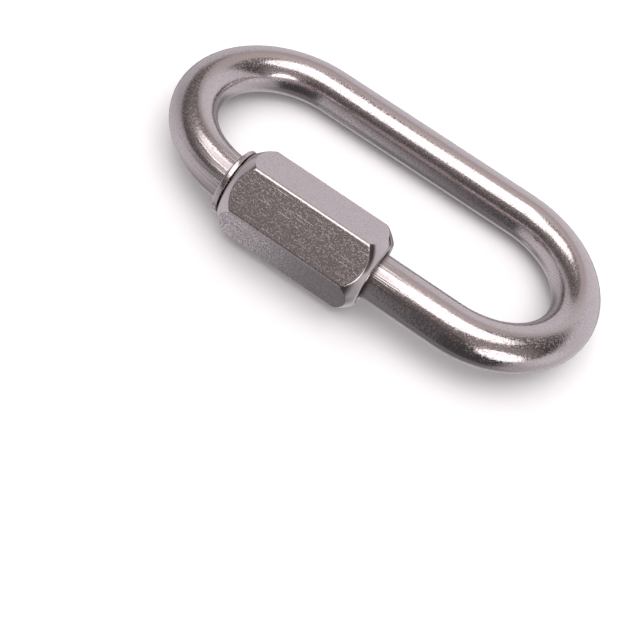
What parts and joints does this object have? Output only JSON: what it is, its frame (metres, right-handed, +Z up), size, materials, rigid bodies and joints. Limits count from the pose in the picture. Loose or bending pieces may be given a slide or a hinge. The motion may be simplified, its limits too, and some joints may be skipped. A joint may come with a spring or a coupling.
{
  "type": "chain quick link",
  "caption": "Oval steel quick link: a bent round bar whose open side is closed by a hexagonal sleeve nut that screws along one arm up to a stop collar.",
  "frame": {"origin": "middle of the link's footprint, on the surface that it lies on", "axes": "+X along the arms, with the stop collar at the -X end of the nut; +Y from the nut's arm to the plain arm; +Z up"},
  "size_m": [0.101, 0.055, 0.0191],
  "materials": {
    "bar_steel": "tumbled and polished stainless bar with faint drawing lines",
    "nut_steel": "satin stainless hexagon bar with fine pits and bright turned ends"
  },
  "bodies": {
    "bow": {"bow": "bar_steel"},
    "nut": {"sleeve_nut": "nut_steel"}
  },
  "joints": [
    {"name": "nut_travel", "type": "slide", "parent": "bow", "child": "nut", "axis": [1, 0, 0], "range_m": [0, 0.0175]}
  ]
}
